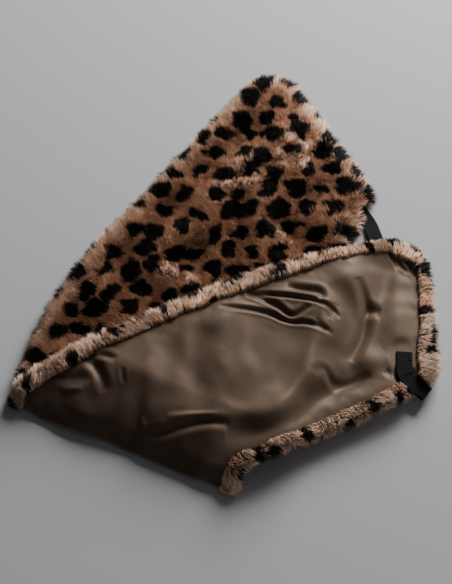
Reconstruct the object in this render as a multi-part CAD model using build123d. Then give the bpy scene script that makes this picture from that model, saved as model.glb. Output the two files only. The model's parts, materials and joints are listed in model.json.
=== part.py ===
from build123d import *
import os

# A curved collar of spotted deep-pile fabric, lined with satin and folded in half across its
# middle, pile to pile. One half rests on its lining. The other half is turned over on top of it,
# lining up, and comes down to the surface past the inner (neck) edge of the lower half.
# Millimetres. +Z is up from the surface, +X runs towards the free end of the upper half, and the
# origin is on the surface, under the middle of the folded collar.

os.makedirs("parts", exist_ok=True)

# Layers of one half, measured from its lining side
LEAF_T = 15.5          # a whole half, from the face of its rim to the tips of the pile
RECESS = 1.6           # how deep the lining lies inside the rim
LINING_T = 0.8         # satin
WADDING_T = 2.5        # soft interlining between the lining and the back of the fur
RIM_W = 14.0           # fur that rolls over the edge onto the lining side
LEAF_GAP = 0.4         # between the pile of the two halves

# Fold line: the centre of the bend, from the outer edge to the neck edge
FOLD_OUTER = Vector(-193, -133)
FOLD_NECK = Vector(19.5, -221)
FOLD_R = LEAF_T + LEAF_GAP / 2
FOLD_GAP = 0.3         # the upper half starts this far from the bend
RIM_AT_OUTER = 15.0    # length of rim along the fold line, at the outer edge
RIM_AT_NECK = 18.0     # and at the neck edge

# Outline of the lower half
REST_BOW = Vector(-165, -41)
REST_STRAIGHT = Vector(-111, 44)
REST_TIP = Vector(55, 266)
REST_NECK = Vector(156, 83)
REST_TIP_R = 36.0
REST_NECK_R = 22.0

# Outline of the upper half
TURN_BOW = Vector(-23, -44)
TURN_STRAIGHT = Vector(139, 19)
TURN_TIP = Vector(199, 36)
TURN_NECK = Vector(199, -129)
TURN_TIP_R = 38.0
TURN_NECK_R = 34.0

# The upper half comes down between these two distances from the neck edge of the lower half
DROP_START = 1.0
DROP_END = 62.0
DROP_SPANS = 4         # points that shape the slope

# Grosgrain ribbon loops, one at the neck corner of each half
RIBBON_W = 15.0
RIBBON_T = 0.6         # one layer
LOOP_BULGE = 1.6       # clear height inside the end of a loop
LOOP_CLEAR = 0.5       # between a loop and the fur it passes
LOOP_GAP = 0.5         # between a loop and its sewn base
HINGE_OVER = 0.4       # a loop bends about a line this far above its base
HINGE_UP = 40.0        # how far the fur is cut away above a loop

REST_RIBBON_CUT = Vector(125, 88)      # middle of the cut end, under the lower half
REST_RIBBON_BEND = Vector(147, 48.5)   # where the free loop starts, clear of the fur
REST_RIBBON_END = Vector(151.5, 28.5)
REST_LOOP_TILT = -5.0                  # the loop stands up from the surface by this angle
TURN_RIBBON_CUT = Vector(168.5, -102)  # on the lining of the upper half
TURN_RIBBON_BEND = Vector(166.5, -126)
TURN_RIBBON_END = Vector(187, -143)
TURN_LOOP_TILT = 14.0                  # the loop comes down over the rim by this angle

# Thread
STITCH_L = 2.6
STITCH_W = 0.7
THREAD_T = 0.25
STITCH_PITCH = 9.0     # along the edge of the lining
EDGE_IN = 1.5          # from the edge of the lining to its stitches
RAW_EDGE = 2.2         # from the cut end of a ribbon to its first row of stitches
ROW_GAP = 6.0          # between the two rows across a ribbon
ROW_PITCH = 3.4

# Heights worked out from the layers
WADDING_LOW = RECESS + LINING_T
FUR_LOW = WADDING_LOW + WADDING_T
TURN_BASE = LEAF_T + LEAF_GAP

FAR = 600.0            # larger than the object, for cutting
along_fold = (FOLD_NECK - FOLD_OUTER).normalized()
out_of_fold = Vector(along_fold.Y, -along_fold.X)
fold_length = (FOLD_NECK - FOLD_OUTER).length


def prism(face, low, high):
    return extrude(Pos(0, 0, low) * face, amount=high - low)


def half_plane(start):
    """Everything on the leaf side of the fold line, from start mm inside it."""
    a = FOLD_OUTER - out_of_fold * start - along_fold * FAR
    b = FOLD_OUTER - out_of_fold * start + along_fold * FAR
    return make_face(Polyline(a, b, b - out_of_fold * FAR, a - out_of_fold * FAR, close=True))


def rounded(edges, corners):
    """A flat face from its edges, with the named corners rounded."""
    face = make_face(edges)
    for corner, radius in corners:
        vertex = face.vertices().sort_by_distance(corner)[0]
        face = fillet(vertex, radius)
    return face


def leaf_outline(bow, straight, tip, neck, tip_r, neck_r):
    """The plan of one half, carried on past the fold so that its inset keeps its width there."""
    past_outer = FOLD_OUTER + out_of_fold * 3 * RIM_W
    past_neck = FOLD_NECK + out_of_fold * 3 * RIM_W
    edges = [
        Line(past_neck, past_outer),
        Line(past_outer, FOLD_OUTER),
        ThreePointArc(FOLD_OUTER, bow, straight),
        Line(straight, tip),
        Line(tip, neck),
        Line(neck, FOLD_NECK),
        Line(FOLD_NECK, past_neck),
    ]
    return rounded(edges, [(tip, tip_r), (neck, neck_r)])


rest_plan = leaf_outline(REST_BOW, REST_STRAIGHT, REST_TIP, REST_NECK, REST_TIP_R, REST_NECK_R)
turn_plan = leaf_outline(TURN_BOW, TURN_STRAIGHT, TURN_TIP, TURN_NECK, TURN_TIP_R, TURN_NECK_R)
rest_lining_plan = offset(rest_plan, -RIM_W)
turn_lining_plan = offset(turn_plan, -RIM_W)
rest_side = half_plane(0)
turn_side = half_plane(FOLD_GAP)


def slope_points(height):
    """The underside of the upper half where it comes down, as distance out and height."""
    points = []
    for i in range(DROP_SPANS + 1):
        t = i / DROP_SPANS
        fall = t * t * (3 - 2 * t)
        points.append((DROP_START + (DROP_END - DROP_START) * t, TURN_BASE * (1 - fall) + height))
    return points


def draped_layer(low, high):
    """A layer of the upper half between two heights above its underside, wide and long."""
    flat = Vector(1, 0)
    bottom = slope_points(low)
    top = slope_points(high)
    section = make_face([
        Line((-FAR, bottom[0][1]), bottom[0]),
        Spline(bottom, tangents=[flat, flat]),
        Line(bottom[-1], (FAR, bottom[-1][1])),
        Line((FAR, bottom[-1][1]), (FAR, top[-1][1])),
        Line((FAR, top[-1][1]), top[-1]),
        Spline(top, tangents=[flat, flat]),
        Line(top[0], (-FAR, top[0][1])),
        Line((-FAR, top[0][1]), (-FAR, bottom[0][1])),
    ])
    neck_edge = (REST_NECK - FOLD_NECK).normalized()
    across = Vector(neck_edge.Y, -neck_edge.X)
    upright = Plane(origin=FOLD_NECK - neck_edge * FAR, x_dir=across, z_dir=neck_edge * -1)
    return extrude(upright * section, amount=-3 * FAR)


def half_ring(outer, inner, start, length):
    """Half of a tube round the fold line, on the outside of the bend."""
    section = Circle(outer) - Circle(inner) if inner else Circle(outer)
    section = section & Pos(outer, 0) * Rectangle(2 * outer, 2 * outer)
    end = FOLD_OUTER + along_fold * start + Vector(0, 0, FOLD_R)
    return extrude(Plane(origin=end, x_dir=out_of_fold, z_dir=along_fold) * section, amount=length)


def slab(start, end, low, high, width=RIBBON_W):
    """A straight flat strip between two points."""
    run = end - start
    at = Plane(origin=start + Vector(0, 0, low), x_dir=run, z_dir=(0, 0, 1))
    strip = Pos(run.length / 2, 0) * Rectangle(run.length, width)
    return extrude(at * strip, amount=high - low)


def stitches_along(plan, side, layer, ribbon):
    """Short stitches spaced evenly along the edge of a lining, except under the ribbon."""
    edge = plan.face().outer_wire()
    count = int(edge.length / STITCH_PITCH)
    marks = Sketch()
    for i in range(count):
        if ribbon.covers(edge.position_at(i / count)):
            continue
        at = Plane(origin=edge.position_at(i / count), x_dir=edge.tangent_at(i / count), z_dir=(0, 0, 1))
        marks += at * Rectangle(STITCH_L, STITCH_W)
    return layer & prism(side & marks, -LEAF_T, 3 * LEAF_T)


class RibbonLoop:
    """A ribbon doubled end to end: a base sewn flat and a free loop that bends about its mitre."""

    def __init__(self, cut, bend, end, low, tilt):
        self.low = low
        self.tilt = tilt
        self.thick = 2 * RIBBON_T
        self.cut = cut
        self.bend = bend
        self.length = (end - bend).length
        self.base_dir = (bend - cut).normalized()
        self.free_dir = (end - bend).normalized()
        mitre = (self.free_dir - self.base_dir).normalized()
        if mitre.cross(self.free_dir).Z < 0:
            mitre = mitre * -1
        self.hinge = Axis(bend + Vector(0, 0, low + self.thick + HINGE_OVER), mitre)

    def beyond(self, gap, sign):
        """A tall block on the loop's side of the mitre (sign 1) or on the base's side (-1)."""
        onward = (self.base_dir + self.free_dir).normalized() * sign
        at = Plane(origin=self.bend + onward * gap, x_dir=onward, z_dir=(0, 0, 1))
        return extrude(at * (Pos(FAR / 2, 0) * Rectangle(FAR, FAR)), amount=FAR, both=True)

    def base(self):
        past = self.bend + self.base_dir * RIBBON_W
        return slab(self.cut, past, self.low, self.low + self.thick) & self.beyond(0, -1)

    def covers(self, point):
        """Whether a stitch at this point would be under the ribbon."""
        margin = RIBBON_W / 2 + STITCH_L
        for start, run in ((self.cut, self.bend - self.cut), (self.bend, self.free_dir * self.length)):
            to_point = point - start
            along = to_point.dot(run.normalized())
            aside = abs(to_point.cross(run.normalized()).Z)
            if -STITCH_L < along < run.length + STITCH_L and aside < margin:
                return True
        return False

    def lowered(self, flat):
        """Turn something about the hinge from level to where the loop rests."""
        return flat.rotate(self.hinge, -self.tilt)

    def loop(self):
        r = LOOP_BULGE / 2
        outer_r = r + RIBBON_T
        far = self.length - outer_r
        back = -RIBBON_W
        outside = make_face([
            Line((back, -RIBBON_T), (0, -RIBBON_T)),
            Line((0, -RIBBON_T), (far, -outer_r)),
            ThreePointArc((far, -outer_r), (far + outer_r, 0), (far, outer_r)),
            Line((far, outer_r), (0, RIBBON_T)),
            Line((0, RIBBON_T), (back, RIBBON_T)),
            Line((back, RIBBON_T), (back, -RIBBON_T)),
        ])
        inside = make_face([
            Line((RIBBON_W / 2, 0), (far, -r)),
            ThreePointArc((far, -r), (far + r, 0), (far, r)),
            Line((far, r), (RIBBON_W / 2, 0)),
        ])
        side = Vector(-self.free_dir.Y, self.free_dir.X)
        middle = self.bend + Vector(0, 0, self.low + RIBBON_T)
        at = Plane(origin=middle + side * (RIBBON_W / 2), x_dir=self.free_dir, z_dir=side * -1)
        band = extrude(at * (outside - inside), amount=RIBBON_W)
        return self.lowered(band & self.beyond(LOOP_GAP, 1))

    def way(self, above):
        """The room a loop needs through the fur, from just under it to some way above."""
        start = self.bend - self.free_dir * RIBBON_W
        end = self.bend + self.free_dir * (self.length + RIBBON_W)
        wide = RIBBON_W + 2 * LOOP_CLEAR
        under = self.low - LOOP_BULGE / 2 - LOOP_CLEAR
        room = slab(start, end, under, self.low + above, wide)
        return self.lowered(room & self.beyond(-LOOP_CLEAR, 1))

    def stitches(self, low, high):
        """Two rows of stitches across the base, near its cut end."""
        side = Vector(-self.base_dir.Y, self.base_dir.X)
        count = int((RIBBON_W - STITCH_L) / ROW_PITCH)
        marks = Sketch()
        for row in (RAW_EDGE, RAW_EDGE + ROW_GAP):
            for i in range(count + 1):
                middle = self.cut + self.base_dir * row + side * (ROW_PITCH * (i - count / 2))
                at = Plane(origin=middle, x_dir=side, z_dir=(0, 0, 1))
                marks += at * Rectangle(STITCH_L, STITCH_W)
        return prism(marks, low, high)


# Lower half
rest_tray = prism(rest_side & rest_plan, 0, LEAF_T)
rest_ribbon = RibbonLoop(REST_RIBBON_CUT, REST_RIBBON_BEND, REST_RIBBON_END, RECESS - 2 * RIBBON_T, REST_LOOP_TILT)
rest_channel = slab(rest_ribbon.cut, rest_ribbon.bend + rest_ribbon.base_dir * RIBBON_W, -1, RECESS, RIBBON_W + 1)
fur_resting = rest_tray - prism(rest_lining_plan, 0, FUR_LOW) - rest_channel
lining_resting = prism(rest_side & rest_lining_plan, RECESS, WADDING_LOW)
wadding_resting = prism(rest_side & rest_lining_plan, WADDING_LOW, FUR_LOW)

# Upper half
turn_tray = draped_layer(0, LEAF_T) & prism(turn_side & turn_plan, -LEAF_T, 3 * LEAF_T)
turn_ribbon = RibbonLoop(TURN_RIBBON_CUT, TURN_RIBBON_BEND, TURN_RIBBON_END, LEAF_T - RECESS, TURN_LOOP_TILT)
turn_inside = prism(turn_side & turn_lining_plan, -LEAF_T, 3 * LEAF_T)
turn_way = turn_ribbon.way(HINGE_UP)
fur_folded = turn_tray - (draped_layer(LEAF_T - FUR_LOW, 3 * LEAF_T) & turn_inside) - turn_way
lining_folded = (draped_layer(LEAF_T - WADDING_LOW, LEAF_T - RECESS) & turn_inside) - turn_way
wadding_folded = (draped_layer(LEAF_T - FUR_LOW, LEAF_T - WADDING_LOW) & turn_inside) - turn_way

# Bend
inner_length = fold_length - RIM_AT_OUTER - RIM_AT_NECK
lining_fold = half_ring(FOLD_R - RECESS, FOLD_R - WADDING_LOW, RIM_AT_OUTER, inner_length)
wadding_fold = half_ring(FOLD_R - WADDING_LOW, FOLD_R - FUR_LOW, RIM_AT_OUTER, inner_length)
fur_fold = (
    half_ring(FOLD_R - FUR_LOW, 0, RIM_AT_OUTER, inner_length)
    + half_ring(FOLD_R, 0, 0, RIM_AT_OUTER)
    + half_ring(FOLD_R, 0, fold_length - RIM_AT_NECK, RIM_AT_NECK)
)

# Thread
rest_edge = offset(rest_plan, -RIM_W - EDGE_IN)
turn_edge = offset(turn_plan, -RIM_W - EDGE_IN)
rest_face = prism(rest_lining_plan, RECESS - THREAD_T, RECESS)
turn_face = draped_layer(LEAF_T - RECESS, LEAF_T - RECESS + THREAD_T)

pieces = {
    "fur_resting": fur_resting,
    "lining_resting": lining_resting,
    "wadding_resting": wadding_resting,
    "edge_stitches_resting": stitches_along(rest_edge, rest_side, rest_face, rest_ribbon),
    "fur_folded": fur_folded,
    "lining_folded": lining_folded,
    "wadding_folded": wadding_folded,
    "edge_stitches_folded": stitches_along(turn_edge, turn_side, turn_face, turn_ribbon),
    "fur_fold": fur_fold,
    "lining_fold": lining_fold,
    "wadding_fold": wadding_fold,
    "ribbon_base_resting": rest_ribbon.base(),
    "ribbon_loop_resting": rest_ribbon.loop(),
    "ribbon_stitches_resting": rest_ribbon.stitches(rest_ribbon.low - THREAD_T, rest_ribbon.low),
    "ribbon_base_folded": turn_ribbon.base(),
    "ribbon_loop_folded": turn_ribbon.loop(),
    "ribbon_stitches_folded": turn_ribbon.stitches(
        turn_ribbon.low + turn_ribbon.thick, turn_ribbon.low + turn_ribbon.thick + THREAD_T
    ),
}

for node, piece in pieces.items():
    piece.label = node
    export_step(piece, f"parts/{node}.step")
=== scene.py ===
import json
import math

import bpy
import numpy as np
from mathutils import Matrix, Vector
from mathutils.geometry import delaunay_2d_cdt


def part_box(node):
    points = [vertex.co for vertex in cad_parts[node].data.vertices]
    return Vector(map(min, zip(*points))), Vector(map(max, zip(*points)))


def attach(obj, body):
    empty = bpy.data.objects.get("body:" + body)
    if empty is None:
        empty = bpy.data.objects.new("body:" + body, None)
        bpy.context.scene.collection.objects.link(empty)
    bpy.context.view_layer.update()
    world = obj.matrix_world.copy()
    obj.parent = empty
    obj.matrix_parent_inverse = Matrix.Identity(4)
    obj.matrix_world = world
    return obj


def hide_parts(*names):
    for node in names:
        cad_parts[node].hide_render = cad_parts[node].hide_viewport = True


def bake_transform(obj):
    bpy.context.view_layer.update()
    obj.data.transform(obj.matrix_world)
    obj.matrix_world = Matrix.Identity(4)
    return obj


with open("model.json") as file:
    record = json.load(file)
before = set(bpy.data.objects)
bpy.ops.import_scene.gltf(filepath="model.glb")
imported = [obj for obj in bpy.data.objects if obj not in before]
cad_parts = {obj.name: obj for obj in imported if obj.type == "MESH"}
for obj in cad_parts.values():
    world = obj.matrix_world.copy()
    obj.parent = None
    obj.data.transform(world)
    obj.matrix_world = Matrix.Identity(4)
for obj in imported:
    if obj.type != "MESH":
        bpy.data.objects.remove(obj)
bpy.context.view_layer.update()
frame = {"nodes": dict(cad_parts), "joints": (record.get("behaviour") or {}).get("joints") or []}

# A leopard-print fur collar with a satin lining, folded pile to pile. Metres, in the CAD frame.
#
# Both halves are laid out flat: a point has a place in plan, and a depth n from the face of its
# lining side. Past the fold line the plan runs on as a flat strip. in_lower() and in_upper() put
# such points where they lie in the folded collar, so cloth, pile, wadding and thread all bend
# together.

MM = 0.001

# ---------------------------------------------------------------- what the frame gives
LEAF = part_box("fur_resting")[1].z          # thickness of one half, to the tips of its pile
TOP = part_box("fur_folded")[1].z            # both halves
FOLD_R = TOP / 2
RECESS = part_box("lining_resting")[0].z     # depth of the lining inside the rim
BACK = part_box("wadding_resting")[1].z      # depth of the back of the fur
STEP_UP = TOP - LEAF                       # height of the upper half over the lower

fold = next(j for j in frame["joints"] if j["name"] == "centre_fold")
along = np.array(fold["axis"][:2]) / np.hypot(*fold["axis"][:2])
out = np.array([along[1], -along[0]])

# ---------------------------------------------------------------- driving dimensions
# Drape of the upper half past the neck edge of the lower one
DROP_START, DROP_END = 5 * MM, 50 * MM
# The upper half sinks towards the bend
SETTLE, SETTLE_FROM, SETTLE_POWER = 22.6 * MM, 50 * MM, 1.6
CRUSHED = 0.4              # the pile is this much shorter at the bend
LOFT, LOFT_WAVE = 1.1 * MM, 62 * MM       # height and length of the upper half's gentle waves

# Pile
PILE = 10 * MM             # length on the face
RIM_PILE, UPPER_RIM_PILE = 9.5 * MM, 8.5 * MM     # length round the edge
EDGE = 6 * MM              # from the outline to the back of the fur at the edge
ROLL_R = 2.2 * MM          # the back of the fur turns round the edge on this radius
RIM_OVER = 2.5 * MM        # how far the rim pile is rooted past the edge of the satin
SKIN = BACK + 1.3 * MM     # depth of the skin that the pile grows from
UPPER_SAG = 1.8 * MM       # the skin of the upper half hangs this much lower in its middle
RIM_SKIN = 2.0 * MM        # depth of the skin on the rim
REAR_DRAWN = 4.5 * MM      # the rim is drawn in this far at the outer end of the upper rear edge
REAR_TIGHT = 0.35          # and its pile is this much shorter there
FRONT_PUSHED = 4 * MM      # the rim stands out this far along the outer part of the front edge
TUFT, GATHER = 8 * MM, 0.15               # width of the rim's tufts, and how far their tips meet
FACE_W, RIM_W = 0.42 * MM, 0.34 * MM      # half widths of a hair at its root
TIP_LIMIT = LEAF - 0.1 * MM               # the greatest depth of a point of a hair
FLOOR_GAP = 0.5 * MM       # the pile stays this far above the floor
FACE_SPACING, HIDDEN_SPACING, RIM_SPACING = 0.88 * MM, 1.15 * MM, 0.98 * MM
FAR_IN = -10.0             # further than any point is from the fold line
STRANDS_IN_PIECE = 42000   # straight ones, and half as many bent ones

# Spots
SPOT_PITCH = 27 * MM
SPOT_R = 10.3 * MM

# Satin and its edge, which is this far from the outline on each side
SATIN_IN_REAR, SATIN_IN_END, SATIN_IN_NECK, SATIN_IN_FOLD = 16 * MM, 17.5 * MM, 10 * MM, 15 * MM
SATIN_IN_CORNER = 6 * MM   # and this much more at the corner with the ribbon
SATIN_LIMIT = 4.7 * MM     # the deepest that its creases go
SATIN_STEP = 1.5 * MM
HEM = 3.5 * MM
UPPER_GAP, UPPER_PAD = 1.9 * MM, 1.4 * MM         # from satin to wadding, and its thickness
LOWER_GAP, LOWER_PAD = 1 * MM, 1.8 * MM
PAD_IN = 2 * MM            # from the edge of the satin to that of the wadding
STITCH_IN, STITCH_STEP = 1.2 * MM, 9 * MM         # from the edge of the satin, and apart

EDGE_STEP = 1.5 * MM       # between the points of an outline
ROW = 0.866                # between the rows of an even triangular grid, as a share of its step
CHUNK = 2000               # points worked on at a time


def unit(v):
    return v / np.maximum(np.linalg.norm(v, axis=-1, keepdims=True), 1e-12)


def smooth(t):
    t = np.clip(t, 0, 1)
    return t * t * (3 - 2 * t)


def left(v):
    """Directions in plan, a quarter turn to the left."""
    return np.stack([-v[:, 1], v[:, 0]], 1)


def travelled(path):
    """Distance along a path to each of its points."""
    return np.concatenate([[0], np.cumsum(np.linalg.norm(np.diff(path, axis=0), axis=1))])


def on_run(at, run, values):
    """Values in plan at some distances along a path."""
    return np.stack([np.interp(at, run, values[:, k]) for k in (0, 1)], 1)


def closest(p, path):
    """For each point, the number of the closest point of a path, and how far away it is."""
    number, gap = np.empty(len(p), int), np.empty(len(p))
    for i in range(0, len(p), CHUNK):
        square = ((p[i : i + CHUNK, None, :] - path) ** 2).sum(2)
        number[i : i + CHUNK] = square.argmin(1)
        gap[i : i + CHUNK] = np.sqrt(square.min(1))
    return number, gap


class Waves:
    """Smooth noise between about -1 and 1: a few seeded plane waves near one wavelength."""

    def __init__(self, seed, length, count=14):
        rng = np.random.default_rng(seed)
        angle = rng.random(count) * 2 * math.pi
        size = 2 * math.pi / (length * rng.uniform(0.7, 1.6, count))
        self.k = np.stack([np.cos(angle), np.sin(angle)], 1) * size[:, None]
        self.phase = rng.random(count) * 2 * math.pi
        self.scale = math.sqrt(2 / count)

    def __call__(self, p):
        return np.sin(p @ self.k.T + self.phase).sum(1) * self.scale * 0.8


def sway(waves, p):
    """Two waves as a shift in plan."""
    return np.stack([w(p) for w in waves], 1)


# ---------------------------------------------------------------- outlines, read from the frame
def plan_loop(node, facing):
    """The plan outline of the faces of a CAD node that look up (1) or down (-1), as one loop.

    Faces that look up count only at the top of the node.
    """
    mesh = frame["nodes"][node].data
    at = np.array([v.co for v in mesh.vertices])
    keys = {}
    same = [keys.setdefault(tuple(np.round(c * 1e5).astype(int)), len(keys)) for c in at]
    place = {k: at[i][:2] for i, k in enumerate(same)}
    top = at[:, 2].max()
    uses = {}
    for face in mesh.polygons:
        level = facing < 0 or all(at[i][2] > top - 0.1 * MM for i in face.vertices)
        if face.normal.z * facing < 0.3 or not level:
            continue
        corners = [same[i] for i in face.vertices]
        for a, b in zip(corners, corners[1:] + corners[:1]):
            uses[(a, b)] = uses.get((a, b), 0) + 1
    following = {a: b for a, b in uses if (b, a) not in uses}
    loops = []
    while following:
        loop = [next(iter(following))]
        while loop[-1] in following:
            loop.append(following.pop(loop[-1]))
        loops.append(np.array([place[k] for k in loop[:-1]]))
    return max(loops, key=lambda l: abs(area(l)))


def area(loop):
    x, y = loop[:, 0], loop[:, 1]
    return float(np.sum(x * np.roll(y, -1) - np.roll(x, -1) * y) / 2)


def spaced(path, step):
    """Points at even spacing along an open path."""
    run = travelled(path)
    return on_run(np.linspace(0, run[-1], max(2, int(run[-1] / step)) + 1), run, path)


def edge_path(node, facing):
    """The free edge of one half, from the neck end of the fold to its outer end, in plan."""
    loop = plan_loop(node, facing)
    if area(loop) < 0:
        loop = loop[::-1]
    depth = loop @ out
    at_fold = np.where(depth > depth.max() - 0.2 * MM)[0]
    neck = at_fold[np.argmax(loop[at_fold] @ along)]
    outer = at_fold[np.argmin(loop[at_fold] @ along)]
    count = (outer - neck) % len(loop)
    return spaced(np.roll(loop, -neck, axis=0)[: count + 1], EDGE_STEP)


lower_edge = edge_path("fur_resting", 1)
upper_edge = edge_path("fur_folded", -1)
neck_end, outer_end = lower_edge[0], lower_edge[-1]
neck_run = unit(lower_edge[12] - lower_edge[0])
neck_out = np.array([neck_run[1], -neck_run[0]])
STRIP = math.pi * FOLD_R


def past_fold(p):
    """Distance beyond the fold line, in plan."""
    return (p - outer_end) @ out


# ---------------------------------------------------------------- from the flat to the fold
loft_waves = Waves(11, LOFT_WAVE)


def in_lower(p, n):
    """Places of flat points of the lower half."""
    return np.column_stack([p, n])


def in_upper(p, n):
    """Places of flat points of the upper half, and of the strip that goes round the bend."""
    s = past_fold(p)
    turn = math.pi - np.clip(s, 0, STRIP) / FOLD_R
    foot = p - np.clip(s, 0, None)[:, None] * out
    r = FOLD_R - n
    plan = foot + (np.where(s > 0, np.sin(turn) * r, 0))[:, None] * out
    fall = smooth(((p - neck_end) @ neck_out - DROP_START) / (DROP_END - DROP_START))
    z = FOLD_R - np.cos(turn) * r - STEP_UP * fall * (s <= 0)
    high = np.clip(z / TOP, 0, 1)
    sink = SETTLE * np.clip((past_fold(plan) + SETTLE_FROM) / (FOLD_R + SETTLE_FROM), 0, 1) ** SETTLE_POWER
    return np.column_stack([plan, z - high * sink + LOFT * high * loft_waves(plan)])


# ---------------------------------------------------------------- flat shapes
def extended(edge):
    """A half's free edge, carried on along both sides of the strip that goes round the bend."""
    start = edge[0] + out * np.linspace(STRIP, EDGE_STEP, 32)[:, None]
    end = edge[-1] + out * np.linspace(EDGE_STEP, STRIP, 32)[:, None]
    return np.concatenate([start, edge, end])


def inward(path, soften=4):
    """Unit directions square to an open path, towards the inside of the shape it goes round."""
    padded = np.concatenate([np.repeat(path[:1], soften, 0), path, np.repeat(path[-1:], soften, 0)])
    run = unit(padded[2 * soften:] - padded[: -2 * soften])
    run[0], run[-1] = unit(path[1] - path[0]), unit(path[-1] - path[-2])
    return left(run)


def on_side(normal, way, start, reach):
    """1 where inward directions of an outline point along neck_out (way 1) or against it (-1)."""
    return smooth((way * (normal @ neck_out) - start) / reach)


def at_rear_end(p, normal):
    """1 at the outer end of the upper half's rear edge, and 0 elsewhere."""
    return on_side(normal, 1, 0.1, 0.7) * smooth((p[:, 0] - 40 * MM) / (90 * MM))


def at_front(p, normal):
    """1 along the outer part of the upper half's front edge, and 0 elsewhere."""
    return on_side(normal, -1, 0.1, 0.7) * smooth((p[:, 0] - 55 * MM) / (55 * MM))


def nowhere(p, normal):
    return np.zeros(len(p))


def clipped(loop, limit):
    """The part of a closed loop that isn't further than limit beyond the fold line."""
    kept = []
    for a, b in zip(loop, np.roll(loop, -1, axis=0)):
        sa, sb = past_fold(a) - limit, past_fold(b) - limit
        if sa <= 0:
            kept.append(a)
        if (sa < 0) != (sb < 0) and abs(sb - sa) > 1e-9:
            kept.append(a + (b - a) * sa / (sa - sb))
    return np.array(kept)


def distances(p, loop):
    """For each point, how far inside a closed loop it is (negative outside)."""
    a, b = loop, np.roll(loop, -1, axis=0)
    run = b - a
    size = np.maximum((run ** 2).sum(1), 1e-18)
    found = np.empty(len(p))
    for i in range(0, len(p), CHUNK):
        q = p[i : i + CHUNK, None, :]
        t = np.clip(((q - a) * run).sum(2) / size, 0, 1)
        near = np.sqrt((((a + t[..., None] * run) - q) ** 2).sum(2).min(1))
        crosses = (a[:, 1] > q[..., 1]) != (b[:, 1] > q[..., 1])
        rise = np.where(np.abs(run[:, 1]) < 1e-12, 1e-12, run[:, 1])
        before = q[..., 0] < a[:, 0] + (q[..., 1] - a[:, 1]) * run[:, 0] / rise
        inside = (crosses & before).sum(1) % 2 == 1
        found[i : i + CHUNK] = np.where(inside, near, -near)
    return found


def spread(loop, step, margin, seed, jitter=0.35):
    """Points at about even spacing inside a loop, at least margin from it."""
    low, high = loop.min(0), loop.max(0)
    rows = int((high[1] - low[1]) / (step * ROW)) + 1
    cols = int((high[0] - low[0]) / step) + 2
    i, j = np.meshgrid(np.arange(cols), np.arange(rows))
    p = np.stack([low[0] + (i + 0.5 * (j % 2)) * step, low[1] + j * step * ROW], 2).reshape(-1, 2)
    p = p + np.random.default_rng(seed).uniform(-jitter, jitter, p.shape) * step
    return p[distances(p, loop) > margin]


def filled(loop, step, seed):
    """A triangle mesh of a closed loop: (points, faces), the loop's own points first."""
    inner = spread(loop, step, 0.6 * step, seed, 0.1)
    every = np.concatenate([loop, inner])
    count = len(loop)
    rim = [(i, (i + 1) % count) for i in range(count)]
    points, _, faces, source, _, _ = delaunay_2d_cdt([Vector(p) for p in every], rim, [], 1, 1e-7)
    place = np.array([source[i][0] for i in range(len(points))])
    return every, [tuple(int(place[k]) for k in f) for f in faces]


# ---------------------------------------------------------------- making objects
def placed(name, data):
    thing = bpy.data.objects.new(name, data)
    bpy.context.scene.collection.objects.link(thing)
    return thing


def mesh_object(name, points, faces, look=None):
    mesh = bpy.data.meshes.new(name)
    mesh.from_pydata(points.tolist(), [], faces)
    if look:
        mesh.materials.append(look)
    mesh.validate()
    mesh.polygons.foreach_set("use_smooth", [True] * len(mesh.polygons))
    mesh.update()
    piece = placed(name, mesh)
    return piece


def across_fold(piece):
    """Bake the placement of a piece that lies across the bend into its mesh."""
    lean, low, high = 0.25, 4.5 * MM, 22 * MM
    step = np.append(-out * lean, 1.0)
    step = step / (step @ step)
    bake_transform(piece)


# ---------------------------------------------------------------- materials
class Look:
    """A material in the making, round its principled shader."""

    def __init__(self, name, colour, roughness, sheen=0.0, tint=None, specular=0.5, anisotropy=0.0):
        self.material = bpy.data.materials.new(name)
        self.material.use_nodes = True
        self.shader = self.material.node_tree.nodes["Principled BSDF"]
        self.connect(self.shader, {
            "Base Color": (*colour, 1),
            "Roughness": roughness,
            "Specular IOR Level": specular,
            "Sheen Weight": sheen,
            "Sheen Roughness": 0.4,
            "Anisotropic": anisotropy,
        })
        if tint:
            self.connect(self.shader, {"Sheen Tint": (*tint, 1)})

    def connect(self, node, inputs):
        """Link or set some inputs of a node."""
        for key, value in inputs.items():
            if isinstance(value, bpy.types.NodeSocket):
                self.material.node_tree.links.new(value, node.inputs[key])
            else:
                node.inputs[key].default_value = value

    def add(self, kind, output, inputs, **settings):
        """One output of a new node."""
        node = self.material.node_tree.nodes.new("ShaderNode" + kind)
        for key, value in settings.items():
            setattr(node, key, value)
        self.connect(node, inputs)
        return node.outputs[output]

    def place(self):
        return self.add("TexCoord", "Object", {})

    def ramp(self, source, stops):
        colour = self.add("ValToRGB", "Color", {"Fac": source})
        elements = colour.node.color_ramp.elements
        while len(elements) < len(stops):
            elements.new(0.5)
        for element, (at, shade) in zip(elements, stops):
            element.position = at
            element.color = (*shade, 1)
        return colour

    def bump(self, height, strength, distance):
        inputs = {"Height": height, "Strength": strength, "Distance": distance}
        self.connect(self.shader, {"Normal": self.add("Bump", "Normal", inputs)})


# Shades of the pile. Each strand takes one for its lower part and one for its tip.
SHADES = {
    "black": (0.008, 0.006, 0.006),
    "umber": (0.045, 0.028, 0.020),
    "russet": (0.450, 0.190, 0.098),
    "tan": (0.685, 0.350, 0.205),
    "honey": (0.800, 0.510, 0.330),
    "blush": (0.880, 0.625, 0.460),
    "cream": (0.930, 0.770, 0.640),
}
SHADE_NAMES = list(SHADES)


def pile_materials():
    made = []
    for name, colour in SHADES.items():
        sheen, specular = (0.07, 0.18) if max(colour) < 0.1 else (0.25, 0.3)
        made.append(Look("pile_" + name, colour, 0.62, sheen, (0.9, 0.75, 0.62), specular).material)
    return made


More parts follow.
